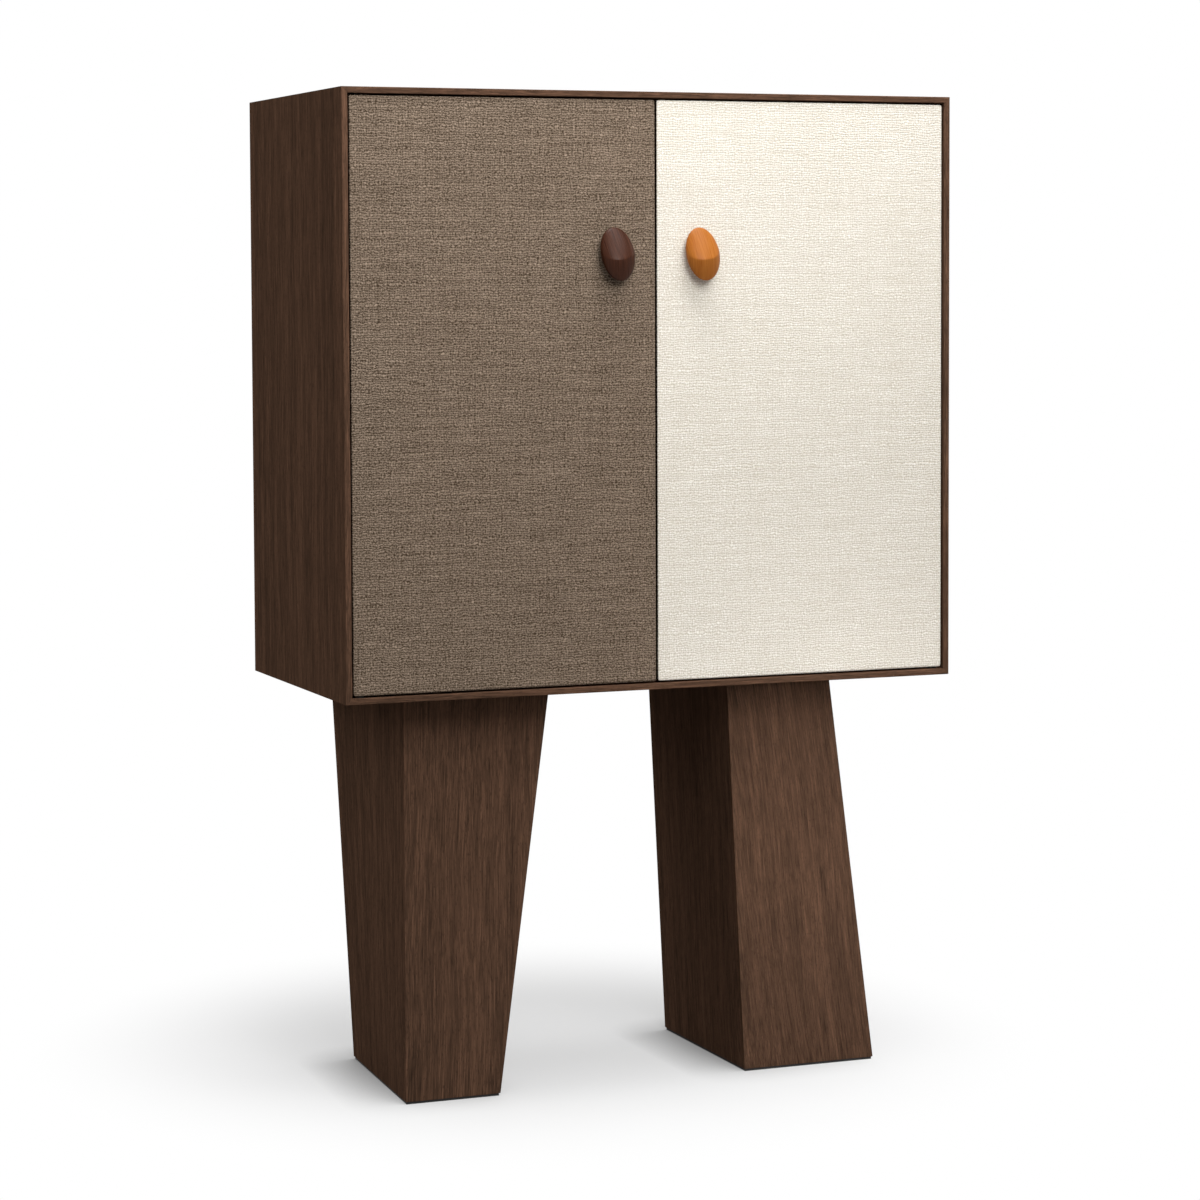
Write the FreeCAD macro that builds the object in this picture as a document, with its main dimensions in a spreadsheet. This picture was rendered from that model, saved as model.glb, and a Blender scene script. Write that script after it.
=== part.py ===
import FreeCAD, Part
import math
import os

import Sketcher
from FreeCAD import Placement, Rotation, Vector

# Driving sizes in mm, angles in degrees; each one becomes a named cell of the sheet
SIZES = {
    # Case
    "carcass_width": 1000, "carcass_depth": 490, "carcass_height": 912, "panel_thickness": 20,
    "front_lip": 9.5, "edge_break": 0.8, "tool_overrun": 5, "back_thickness": 8, "back_inset": 2,
    "back_rabbet": 10, "small_clearance": 0.3, "running_clearance": 0.05, "glue_gap": 0.2,
    # Inside of the case
    "board_thickness": 18, "mid_shelf_level": 362, "shelf_setback": 4, "loose_setback": 30,
    "left_shelf_rise": 250, "right_shelf_rise": 322, "shelf_side_gap": 1, "shelf_pin_radius": 2.5,
    "shelf_pin_seat": 7, "shelf_pin_stand": 9, "shelf_pin_inset": 50, "pin_hole_depth": 8,
    "pin_hole_pitch": 32, "dowel_radius": 4, "dowel_in_side": 12, "dowel_in_shelf": 24,
    "dowel_inset": 60, "rail_pitch": 100, "rail_length": 260, "rail_web": 10, "rail_drop": 22,
    "rail_flange": 40, "rail_flange_thickness": 6, "rail_setback": 70,
    "back_screw_radius": 1.75, "back_screw_length": 24, "back_screw_head": 3.5,
    "back_screw_head_height": 1.5, "back_screw_margin": 70,
    # Doors
    "door_recess": 3, "door_gap": 3, "meeting_gap": 3.5, "core_thickness": 18, "cloth_thickness": 1,
    "cloth_edge_radius": 3, "cloth_turn_in": 24, "backing_thickness": 3, "backing_inset": 3,
    "door_rear_gap": 3, "pivot_edge_inset": 12, "pivot_face_inset": 9, "pivot_radius": 3,
    "pivot_in_door": 30, "pivot_in_bush": 7, "bush_radius": 5, "bush_depth": 7.5, "washer_radius": 8,
    "catch_length": 40, "catch_depth": 26, "catch_height": 12, "catch_offset": 24,
    "strike_thickness": 1.5, "strike_length": 34, "strike_height": 10, "bumper_radius": 4,
    "bumper_offset": 90,
    # Knobs
    "knob_offset": 70, "knob_level": 666, "knob_width": 54, "knob_length": 81.6,
    "knob_projection": 36, "knob_front_depth": 21, "knob_back_depth": 10.2, "knob_lean": 6,
    "knob_roll": 9, "knob_ridge_fall": 23, "knob_crease_share": 0.6, "knob_neck_radius": 9,
    "knob_neck_rise": 14, "knob_screw_radius": 2, "knob_screw_reach": 11, "knob_screw_head": 4.5,
    "knob_screw_head_height": 2.5,
    # Fold-out shelf on the right door
    "flap_seam_inset": 43.75, "flap_edge_inset": 42, "flap_depth": 280, "flap_thickness": 18,
    "flap_axis_rise": 26, "knuckle_radius": 2.5, "hinge_end_inset": 10, "leaf_thickness": 1.5,
    "leaf_width": 28, "hinge_pin_radius": 1.2, "leaf_screw_radius": 1.6, "leaf_screw_length": 12,
    "leaf_screw_head": 3, "leaf_screw_head_height": 1, "leaf_screw_level": 17,
    "flap_magnet_radius": 9, "flap_strike_radius": 8, "flap_strike_thickness": 2,
    "flap_magnet_drop": 45, "notch_radius": 28,
    # Legs
    "leg_height": 628, "leg_setback": 82, "leg_panel": 18, "leg_block": 60, "foot_block": 18,
    "pad_thickness": 4, "pad_inset": 2, "left_top_inset": 116, "left_top_inset_rear": 102,
    "left_top_width": 236, "left_foot_inset": 115, "left_foot_inset_rear": 135,
    "left_foot_width": 154, "right_top_inset": 172, "right_top_width": 177, "right_foot_inset": 93,
    "right_foot_width": 226, "bolt_radius": 4, "bolt_length": 60, "bolt_head_radius": 8,
    "bolt_head_height": 5, "insert_radius": 6, "insert_length": 25, "bolt_side_inset": 43.5,
    "bolt_front_inset": 53, "bolt_hole_clearance": 0.5,
}
# Counts
PIN_HOLE_ROWS = 5
RAIL_COUNT = 4
KNUCKLE_COUNT = 19
LEAF_SCREW_COUNT = 5
BACK_SCREW_COLUMNS = 4
BACK_SCREW_ROWS = 4
KNOB_SECTION_ANGLES = (84, 72, 58, 42, 26, 12, 0)

doc = FreeCAD.newDocument("BarCabinet")
sheet = doc.addObject("Spreadsheet::Sheet", "Sizes")


class Measure:
    """A length that carries its number and its formula in the sheet's names through plain sums."""

    def __init__(self, formula, value):
        self.formula = formula
        self.value = value

    @staticmethod
    def of(thing):
        """Any number or measure, as a measure."""
        if isinstance(thing, Measure):
            return thing
        return Measure(f"({thing})", float(thing))

    def __add__(self, other):
        other = Measure.of(other)
        return Measure(f"({self.formula} + {other.formula})", self.value + other.value)

    def __sub__(self, other):
        other = Measure.of(other)
        return Measure(f"({self.formula} - {other.formula})", self.value - other.value)

    def __mul__(self, other):
        other = Measure.of(other)
        return Measure(f"({self.formula} * {other.formula})", self.value * other.value)

    def __truediv__(self, other):
        other = Measure.of(other)
        return Measure(f"({self.formula} / {other.formula})", self.value / other.value)

    def __neg__(self):
        return Measure(f"(0 - {self.formula})", -self.value)

    def __rmul__(self, other):
        return Measure.of(other) * self


class Sheet:
    """The sheet's cells by name."""


s = Sheet()
for row, (alias, number) in enumerate(SIZES.items(), start=1):
    sheet.set(f"A{row}", str(number))
    sheet.setAlias(f"A{row}", alias)
    setattr(s, alias, Measure(f"Sizes.{alias}", float(number)))
doc.recompute()

pieces = {}


def keep(label, thing):
    """Names a finished sub-part, which is then checked and written to its own file."""
    thing.Label = label
    pieces[label] = thing
    return thing


def bind(thing, **formulas):
    """Ties an object's properties to the sheet; a double underscore stands for a dot."""
    for name, measure in formulas.items():
        thing.setExpression(name.replace("__", "."), Measure.of(measure).formula)
    return thing


def ordered(a, b):
    """Two measures, the lower one first."""
    a, b = Measure.of(a), Measure.of(b)
    return (a, b) if a.value <= b.value else (b, a)


def box(label, x, y, z):
    """A plain board between two limits on each axis."""
    (x0, x1), (y0, y1), (z0, z1) = ordered(*x), ordered(*y), ordered(*z)
    thing = doc.addObject("Part::Box", label)
    bind(thing, Length=x1 - x0, Width=y1 - y0, Height=z1 - z0)
    return bind(thing, Placement__Base__x=x0, Placement__Base__y=y0, Placement__Base__z=z0)


TURNS = {
    "x": Rotation(Vector(0, 1, 0), 90),
    "y": Rotation(Vector(1, 0, 0), -90),
    "z": Rotation(),
}


def rod(label, axis, across, span, radius):
    """A round bar along one axis: its centre on the two other axes, and its limits along it."""
    start, end = ordered(*span)
    place = dict(zip([a for a in "xyz" if a != axis], across))
    place[axis] = start
    thing = doc.addObject("Part::Cylinder", label)
    thing.Placement = Placement(Vector(), TURNS[axis])
    bind(thing, Radius=radius, Height=end - start)
    return bind(thing, **{f"Placement__Base__{a}": place[a] for a in "xyz"})


def compound(label, things):
    """Several solids as one object."""
    thing = doc.addObject("Part::Compound", label)
    thing.Links = things
    return thing


def fused(label, things):
    """Several overlapping solids as one."""
    thing = doc.addObject("Part::MultiFuse", label)
    thing.Shapes = things
    return thing


def drilled(label, blank, tools):
    """A blank less its tools."""
    thing = doc.addObject("Part::Cut", label)
    thing.Base = blank
    thing.Tool = tools[0] if len(tools) == 1 else compound(label + "_tools", tools)
    return thing


def screw(label, axis, across, seat, tip, head, radius, head_radius):
    """A pan-head screw: shank from seat to tip, head standing the other way from the seat."""
    shank = rod(label + "_shank", axis, across, (seat, tip), radius)
    cap = rod(label + "_head", axis, across, (seat, head), head_radius)
    return fused(label, [shank, cap])


def sketch_on(owner, role, offset, loops):
    """Closed polygons on one of the body's own planes, every corner held at its formula."""
    plane = next(f for f in owner.Origin.OriginFeatures if f.Role == role)
    sketch = owner.newObject("Sketcher::SketchObject", owner.Name + "_sketch")
    sketch.AttachmentSupport = [(plane, "")]
    sketch.MapMode = "FlatFace"
    bind(sketch, AttachmentOffset__Base__z=offset)
    first = 0
    for loop in loops:
        corners = [(Measure.of(a), Measure.of(b)) for a, b in loop]
        count = len(corners)
        for i, corner in enumerate(corners):
            ends = [Vector(p[0].value, p[1].value, 0) for p in (corner, corners[(i + 1) % count])]
            sketch.addGeometry(Part.LineSegment(*ends), False)
        for i in range(count):
            following = first + (i + 1) % count
            sketch.addConstraint(Sketcher.Constraint("Coincident", first + i, 2, following, 1))
        for i, corner in enumerate(corners):
            for kind, measure in zip(("DistanceX", "DistanceY"), corner):
                rule = Sketcher.Constraint(kind, -1, 1, first + i, 1, measure.value)
                index = sketch.addConstraint(rule)
                sketch.setExpression(f"Constraints[{index}]", measure.formula)
        first += count
    return sketch


def new_body(label):
    """An empty body."""
    return doc.addObject("PartDesign::Body", label)


def pad(owner, role, offset, length, *loops):
    """Pads polygons along their plane's normal."""
    thing = owner.newObject("PartDesign::Pad", owner.Name + "_pad")
    thing.Profile = sketch_on(owner, role, offset, loops)
    bind(thing, Length=length)
    doc.recompute()
    return thing


def pocket(owner, role, offset, length, *loops):
    """Cuts polygons against their plane's normal and makes sure that something came off."""
    before = owner.Shape.Volume
    thing = owner.newObject("PartDesign::Pocket", owner.Name + "_pocket")
    thing.Profile = sketch_on(owner, role, offset, loops)
    bind(thing, Length=length)
    doc.recompute()
    if owner.Shape.Volume >= before:
        raise RuntimeError(owner.Label + ": a pocket cuts nothing")
    return thing


def loft(label, low_level, low, high_level, high):
    """A straight-sided solid between two polygons at two levels."""
    owner = new_body(label)
    profile = sketch_on(owner, "XY_Plane", low_level, [low])
    section = sketch_on(owner, "XY_Plane", high_level, [high])
    thing = owner.newObject("PartDesign::AdditiveLoft", label + "_loft")
    thing.Profile = profile
    thing.Sections = [section]
    thing.Ruled = True
    doc.recompute()
    return owner


def rounded_board(label, x, z, face, thickness, radius):
    """An upright board whose four front edges are rounded."""
    owner = new_body(label)
    corners = [(x[0], z[0]), (x[1], z[0]), (x[1], z[1]), (x[0], z[1])]
    base = pad(owner, "XZ_Plane", -(face + thickness), thickness, corners)
    ridge = [
        f"Edge{i}"
        for i, edge in enumerate(base.Shape.Edges, start=1)
        if all(abs(v.Y - face.value) < base.Shape.getTolerance(1) * 10 for v in edge.Vertexes)
    ]
    rounding = owner.newObject("PartDesign::Fillet", label + "_round")
    rounding.Base = (base, ridge)
    bind(rounding, Radius=radius)
    doc.recompute()
    return owner


# Places that several pieces share; x right, y back, z up, origin on the floor under the middle
half = s.carcass_width / 2
front = (s.knob_projection - s.door_recess - s.carcass_depth) / 2
rear = front + s.carcass_depth
under = s.leg_height
top = under + s.carcass_height
inner_half = half - s.panel_thickness
floor = under + s.panel_thickness
ceiling = top - s.panel_thickness
door_thickness = s.cloth_thickness * 2 + s.core_thickness + s.backing_thickness
door_front = front + s.door_recess
door_back = door_front + door_thickness
shoulder = door_back + s.door_rear_gap
back_seat = rear - s.back_inset - s.back_thickness
shelf_front = shoulder + s.shelf_setback
mid_top = under + s.mid_shelf_level
mid_low = mid_top - s.board_thickness
divider_half = s.board_thickness / 2
door_low = under + s.front_lip + s.door_gap
door_high = top - s.front_lip - s.door_gap
door_outer = half - s.front_lip - s.door_gap
door_seam = s.meeting_gap / 2
pivot_x = door_outer - s.pivot_edge_inset
pivot_y = door_front + s.pivot_face_inset
SIDES = (("left", -1), ("right", 1))


# Case panels
def panel_profile(outer, inward):
    """Section of a case panel: pairs of depth in the case and place across the panel."""
    t, e = s.panel_thickness, s.edge_break
    run = [
        (front + e, e * 0), (rear, e * 0), (rear, t - s.back_rabbet), (back_seat, t - s.back_rabbet),
        (back_seat, t), (shoulder, t), (shoulder, s.front_lip), (front + e, s.front_lip),
        (front, s.front_lip - e), (front, e),
    ]
    return [(y, outer + inward * depth) for y, depth in run]


def mitre(sx, sz, level, lies_flat):
    """Waste beyond the mitre line at one corner of the case, for a flat or an upright panel."""
    over, t = s.tool_overrun, s.panel_thickness
    far = sx * (half + over)
    near = sx * (half - t - over)
    outer = level + sz * over
    inner = level - sz * (t + over)
    third = (far, inner) if lies_flat else (near, outer)
    return [(far, outer), (near, inner), third]


def case_panel(label, role, offset, length, section, corners):
    """One case panel: its section carried along its length, then mitred at both ends."""
    owner = new_body(label)
    pad(owner, role, offset, length, section)
    over = s.tool_overrun
    pocket(owner, "XZ_Plane", over - front, s.carcass_depth + over * 2, *corners)
    return owner


flat_blanks = {}
for label, level, inward, sz in (("top", top, -1, 1), ("bottom", under, 1, -1)):
    waste = [mitre(sx, sz, level, True) for sx in (-1, 1)]
    flat_blanks[label] = case_panel(f"case_{label}_blank", "YZ_Plane", -half, s.carcass_width,
                                    panel_profile(level, inward), waste)
side_blanks = {}
for label, sx in SIDES:
    waste = [mitre(sx, sz, level, False) for sz, level in ((1, top), (-1, under))]
    section = [(x, y) for y, x in panel_profile(sx * half, -sx)]
    side_blanks[label] = case_panel(f"case_{label}_blank", "XY_Plane", under, s.carcass_height,
                                    section, waste)

# Leg bolts, their inserts and the places they share
def leg_outline(inset, inset_rear, width):
    """A leg's distances from the middle of the case: outer front, outer rear and inner face."""
    return half - inset, half - inset_rear, half - inset - width


leg_corners = {
    "left": {
        "top": leg_outline(s.left_top_inset, s.left_top_inset_rear, s.left_top_width),
        "foot": leg_outline(s.left_foot_inset, s.left_foot_inset_rear, s.left_foot_width),
    },
    "right": {
        "top": leg_outline(s.right_top_inset, s.right_top_inset, s.right_top_width),
        "foot": leg_outline(s.right_foot_inset, s.right_foot_inset, s.right_foot_width),
    },
}
leg_front = front + s.leg_setback
leg_rear = rear - s.leg_setback
bolt_lines = (leg_front + s.bolt_front_inset, leg_rear - s.bolt_front_inset)
bolt_places = {}
for label, sx in SIDES:
    outer, _, inner = leg_corners[label]["top"]
    ends = (sx * (outer - s.bolt_side_inset), sx * (inner + s.bolt_side_inset))
    bolt_places[label] = [(x, y) for x in ends for y in bolt_lines]
all_bolts = bolt_places["left"] + bolt_places["right"]
bolt_tip = floor - s.bolt_length
bolts, inserts, bolt_holes = [], [], []
for i, place in enumerate(all_bolts):
    bolts.append(screw(f"leg_bolt_{i}", "z", place, floor, bolt_tip, floor + s.bolt_head_height,
                       s.bolt_radius, s.bolt_head_radius))
    sleeve = rod(f"insert_{i}_sleeve", "z", place, (under - s.insert_length, under), s.insert_radius)
    bore = rod(f"insert_{i}_bore", "z", place, (under - s.insert_length * 2, floor),
               s.bolt_radius + s.running_clearance)
    inserts.append(drilled(f"insert_{i}", sleeve, [bore]))
    bolt_holes.append(rod(f"bolt_hole_{i}", "z", place, (under - s.tool_overrun, floor + s.tool_overrun),
                          s.bolt_radius + s.bolt_hole_clearance))
keep("leg_bolts", compound("leg_bolts", bolts))
keep("leg_inserts", compound("leg_inserts", inserts))

# Pivot bushes and thrust washers
lip_low = under + s.front_lip
lip_high = top - s.front_lip
bushes, washers, bush_seats = [], [], {"top": [], "bottom": []}
for label, sx in SIDES:
    place = (sx * pivot_x, pivot_y)
    for end, seat, deep in (("top", lip_high, lip_high + s.bush_depth),
                            ("bottom", lip_low, lip_low - s.bush_depth)):
        name = f"{label}_{end}_bush"
        sleeve = rod(name + "_sleeve", "z", place, (seat, deep), s.bush_radius)
        bore = rod(name + "_bore", "z", place, (seat, deep), s.pivot_radius + s.running_clearance)
        bushes.append(drilled(name, sleeve, [bore]))
        bush_seats[end].append(rod(name + "_seat", "z", place, (seat, deep), s.bush_radius))
    washer_top = door_low + s.cloth_thickness - s.running_clearance
    ring = rod(f"{label}_washer_ring", "z", place, (lip_low, washer_top), s.washer_radius)
    eye = rod(f"{label}_washer_eye", "z", place, (lip_low, washer_top),
              s.pivot_radius + s.small_clearance)
    washers.append(drilled(f"{label}_washer", ring, [eye]))
keep("pivot_bushes", compound("pivot_bushes", bushes))
keep("thrust_washers", compound("thrust_washers", washers))

# Back panel and its screws, which stand in a grid along the four edges
back_x = inner_half + s.back_rabbet - s.small_clearance
back_low = floor - s.back_rabbet + s.small_clearance
back_high = ceiling + s.back_rabbet - s.small_clearance
back_rear = rear - s.back_inset
edge_line = half - s.panel_thickness + s.back_rabbet / 2
low_line = floor - s.back_rabbet / 2
high_line = ceiling + s.back_rabbet / 2
first_column = s.back_screw_margin - edge_line
column_pitch = -first_column * 2 / (BACK_SCREW_COLUMNS - 1)
columns = [first_column + column_pitch * i for i in range(BACK_SCREW_COLUMNS)]
first_row = low_line + s.back_screw_margin
row_pitch = (high_line - s.back_screw_margin - first_row) / (BACK_SCREW_ROWS - 1)
rows = [first_row + row_pitch * i for i in range(BACK_SCREW_ROWS)]
screw_places = {
    "top": [(x, high_line) for x in columns], "bottom": [(x, low_line) for x in columns],
    "left": [(-edge_line, z) for z in rows], "right": [(edge_line, z) for z in rows],
}
back_screws, back_holes, pilots = [], [], {}
for label, places in screw_places.items():
    pilots[label] = []
    for i, place in enumerate(places):
        name = f"back_screw_{label}_{i}"
        tip = back_rear - s.back_screw_length
        back_screws.append(screw(name, "y", place, back_rear, tip, back_rear + s.back_screw_head_height,
                                 s.back_screw_radius, s.back_screw_head))
        hole = rod(name + "_hole", "y", place, (tip, rear), s.back_screw_radius + s.running_clearance)
        back_holes.append(hole)
        pilots[label].append(hole)
back_blank = box("back_blank", (-back_x, back_x), (back_seat, back_rear), (back_low, back_high))
keep("back_panel", drilled("back_panel", back_blank, back_holes))
keep("back_screws", compound("back_screws", back_screws))

# Shelf dowels, pins and the rows of pin holes
dowels, dowel_holes, shelf_holes = [], {"left": [], "right": []}, []
dowel_lines = [shelf_front + s.dowel_inset, (shelf_front + back_seat) / 2, back_seat - s.dowel_inset]
for label, sx in SIDES:
    for i, y in enumerate(dowel_lines):
        place = (y, mid_low + s.board_thickness / 2)
        span = (sx * (inner_half + s.dowel_in_side), sx * (inner_half - s.dowel_in_shelf))
        dowels.append(rod(f"dowel_{label}_{i}", "x", place, span, s.dowel_radius))
        hole = rod(f"dowel_hole_{label}_{i}", "x", place, span, s.dowel_radius + s.running_clearance)
        dowel_holes[label].append(hole)
        shelf_holes.append(hole)
keep("mid_shelf_dowels", compound("mid_shelf_dowels", dowels))
pins, side_pin_holes, divider_pin_holes = [], {"left": [], "right": []}, []
loose_front = shoulder + s.loose_setback
pin_lines = [loose_front + s.shelf_pin_inset, back_seat - s.shelf_pin_inset]
shelf_levels = {"left": mid_top + s.left_shelf_rise, "right": mid_top + s.right_shelf_rise}
for label, sx in SIDES:
    pin_level = shelf_levels[label] - s.shelf_pin_radius
    for wall, face, way in (("side", sx * inner_half, sx), ("divider", sx * divider_half, -sx)):
        for j, y in enumerate(pin_lines):
            name = f"{label}_{wall}_{j}"
            span = (face + way * s.shelf_pin_seat, face - way * s.shelf_pin_stand)
            pins.append(rod("shelf_pin_" + name, "x", (y, pin_level), span, s.shelf_pin_radius))
            for k in range(PIN_HOLE_ROWS):
                level = pin_level + s.pin_hole_pitch * (k - (PIN_HOLE_ROWS - 1) / 2)
                hole = rod(f"pin_hole_{name}_{k}", "x", (y, level), (face, face + way * s.pin_hole_depth),
                           s.shelf_pin_radius + s.running_clearance)
                (side_pin_holes[label] if wall == "side" else divider_pin_holes).append(hole)
keep("shelf_pins", compound("shelf_pins", pins))

# Case panels with their holes
keep("case_top", drilled("case_top", flat_blanks["top"], bush_seats["top"] + pilots["top"]))
keep("case_bottom", drilled("case_bottom", flat_blanks["bottom"],
                            bush_seats["bottom"] + pilots["bottom"] + bolt_holes))
for label, sx in SIDES:
    keep(f"case_{label}_side", drilled(f"case_{label}_side", side_blanks[label],
                                       pilots[label] + dowel_holes[label] + side_pin_holes[label]))

# Shelves and dividers
mid_blank = box("mid_blank", (-inner_half, inner_half), (shelf_front, back_seat), (mid_low, mid_top))
keep("mid_shelf", drilled("mid_shelf", mid_blank, shelf_holes))
upper_blank = box("upper_blank", (-divider_half, divider_half), (shelf_front, back_seat), (mid_top, ceiling))
keep("upper_divider", drilled("upper_divider", upper_blank, divider_pin_holes))
keep("lower_divider", box("lower_divider", (-divider_half, divider_half), (shelf_front, back_seat),
                          (floor, mid_low)))
for label, sx in SIDES:
    ends = (sx * (divider_half + s.shelf_side_gap), sx * (inner_half - s.shelf_side_gap))
    level = shelf_levels[label]
    run = (loose_front, back_seat - s.shelf_side_gap)
    shelf = box(f"{label}_loose_shelf", ends, run, (level, level + s.board_thickness))
    keep(f"{label}_loose_shelf", shelf)

# Stemware rails under the case top, in the left bay
rails = []
rail_y = (shoulder + s.rail_setback, shoulder + s.rail_setback + s.rail_length)
bay_middle = -(divider_half + inner_half) / 2
for i in range(RAIL_COUNT):
    x = bay_middle + s.rail_pitch * (i - (RAIL_COUNT - 1) / 2)
    web_low = ceiling - s.rail_drop
    web = box(f"rail_{i}_web", (x - s.rail_web / 2, x + s.rail_web / 2), rail_y, (web_low, ceiling))
    flange = box(f"rail_{i}_flange", (x - s.rail_flange / 2, x + s.rail_flange / 2), rail_y,
                 (web_low - s.rail_flange_thickness, web_low))
    rails.append(fused(f"rail_{i}", [web, flange]))
keep("stemware_rails", compound("stemware_rails", rails))

# Catches and bumpers on the case
catches, bumpers = [], []
strike_face = door_back + s.strike_thickness
catch_face = strike_face + s.small_clearance
for label, sx in SIDES:
    ends = (sx * s.catch_offset, sx * (s.catch_offset + s.catch_length))
    catches.append(box(f"{label}_catch", ends, (catch_face, catch_face + s.catch_depth),
                       (ceiling - s.catch_height, ceiling)))
    for end, level in (("top", (ceiling + lip_high) / 2), ("bottom", (floor + lip_low) / 2)):
        bumpers.append(rod(f"{label}_{end}_bumper", "y", (sx * s.bumper_offset, level),
                           (door_back + s.small_clearance, shoulder), s.bumper_radius))
keep("magnet_catches", compound("magnet_catches", catches))
keep("door_bumpers", compound("door_bumpers", bumpers))


# Legs: four mitred panels round two blocks, on a pad
def leg_quad(corners, sx, inset):
    """Corners of a leg's outline, moved in by the inset: front outer, rear outer, rear inner, front inner."""
    outer, outer_rear, inner = corners
    return [
        (sx * (outer - inset), leg_front + inset), (sx * (outer_rear - inset), leg_rear - inset),
        (sx * (inner + inset), leg_rear - inset), (sx * (inner + inset), leg_front + inset),
    ]


def leg_at(label, share):
    """Outline distances of a leg at a share of the way from its foot to its top."""
    foot, head = leg_corners[label]["foot"], leg_corners[label]["top"]
    return [a + (b - a) * share for a, b in zip(foot, head)]


leg_rise = under - s.pad_thickness
for label, sx in SIDES:
    zero = s.glue_gap * 0
    low_out = leg_quad(leg_corners[label]["foot"], sx, zero)
    low_in = leg_quad(leg_corners[label]["foot"], sx, s.leg_panel)
    high_out = leg_quad(leg_corners[label]["top"], sx, zero)
    high_in = leg_quad(leg_corners[label]["top"], sx, s.leg_panel)
    for face, i, j in (("outer", 0, 1), ("rear", 1, 2), ("inner", 2, 3), ("front", 3, 0)):
        low = [low_out[i], low_out[j], low_in[j], low_in[i]]
        high = [high_out[i], high_out[j], high_in[j], high_in[i]]
        name = f"{label}_leg_{face}"
        keep(name, loft(name + "_loft", s.pad_thickness, low, under, high))
    inset = s.leg_panel + s.glue_gap
    block_low = under - s.leg_block
    cut_level = leg_at(label, (block_low - s.pad_thickness) / leg_rise)
    block = loft(f"{label}_leg_block_blank", block_low, leg_quad(cut_level, sx, inset), under,
                 leg_quad(leg_corners[label]["top"], sx, inset))
    seats = []
    for i, place in enumerate(bolt_places[label]):
        seats.append(rod(f"{label}_seat_{i}", "z", place, (under - s.insert_length, under), s.insert_radius))
        seats.append(rod(f"{label}_shank_{i}", "z", place, (bolt_tip - s.glue_gap, under),
                         s.bolt_radius + s.bolt_hole_clearance))
    seat_group = fused(f"{label}_leg_seats", seats)
    keep(f"{label}_leg_block", drilled(f"{label}_leg_block", block, [seat_group]))
    foot_high = s.pad_thickness + s.foot_block
    cut_level = leg_at(label, s.foot_block / leg_rise)
    keep(f"{label}_foot_block", loft(f"{label}_foot_loft", s.pad_thickness,
                                     leg_quad(leg_corners[label]["foot"], sx, inset), foot_high,
                                     leg_quad(cut_level, sx, inset)))
    sole = new_body(f"{label}_pad_body")
    pad(sole, "XY_Plane", zero, s.pad_thickness, leg_quad(leg_corners[label]["foot"], sx, s.pad_inset))
    keep(f"{label}_foot_pad", sole)


# Doors
def knob_shape(sx):
    """Pebble knob: half-ellipse sections stacked along a leaning axis, with a crease at the widest one.

    A section at share u of the half length has half width w times the root of 1 - u squared. Its front depth
    also falls straight by the crease share times u to both sides, which makes the ridge. Sections slope down
    towards the front, so the ridge hangs like a smile. The whole knob is rolled a little on its screw.
    """
    lean, fall = math.radians(s.knob_lean.value), math.radians(s.knob_ridge_fall.value)
    roll = Rotation(Vector(0, 1, 0), -s.knob_roll.value)
    along = roll.multVec(Vector(0, -math.sin(lean), -math.cos(lean)))
    out = roll.multVec(Vector(0, -math.cos(fall), -math.sin(fall)))
    across = roll.multVec(Vector(1, 0, 0))
    standoff = s.knob_projection.value - s.knob_front_depth.value * math.cos(fall)
    heart = Vector(sx * s.knob_offset.value, door_front.value - standoff, under.value + s.knob_level.value)

    def section(u):
        taper = math.sqrt(1 - u * u)
        middle = heart + along * (u * s.knob_length.value / 2)
        reach = across * (s.knob_width.value / 2 * taper)
        crease = 1 - s.knob_crease_share.value * abs(u)
        arcs = []
        for depth in (s.knob_front_depth.value * crease, -s.knob_back_depth.value):
            rim = middle + out * (depth * taper)
            arcs.append(Part.Ellipse(middle + reach, rim, middle).toShape(0, math.pi))
        return Part.Wire(Part.__sortEdges__(arcs))

    shares = [math.sin(math.radians(a)) for a in KNOB_SECTION_ANGLES]
    upper = Part.makeLoft([section(-u) for u in shares], True, False)
    lower = Part.makeLoft([section(u) for u in reversed(shares)], True, False)
    neck_z = heart.z + s.knob_neck_rise.value
    neck = Part.makeCylinder(s.knob_neck_radius.value, standoff / 2,
                             Vector(heart.x, door_front.value, neck_z), Vector(0, -1, 0))
    bore = Part.makeCylinder(s.knob_screw_radius.value + s.running_clearance.value, s.knob_screw_reach.value,
                             Vector(heart.x, door_front.value, neck_z), Vector(0, -1, 0))
    return upper.fuse([lower, neck]).cut(bore)


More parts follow.
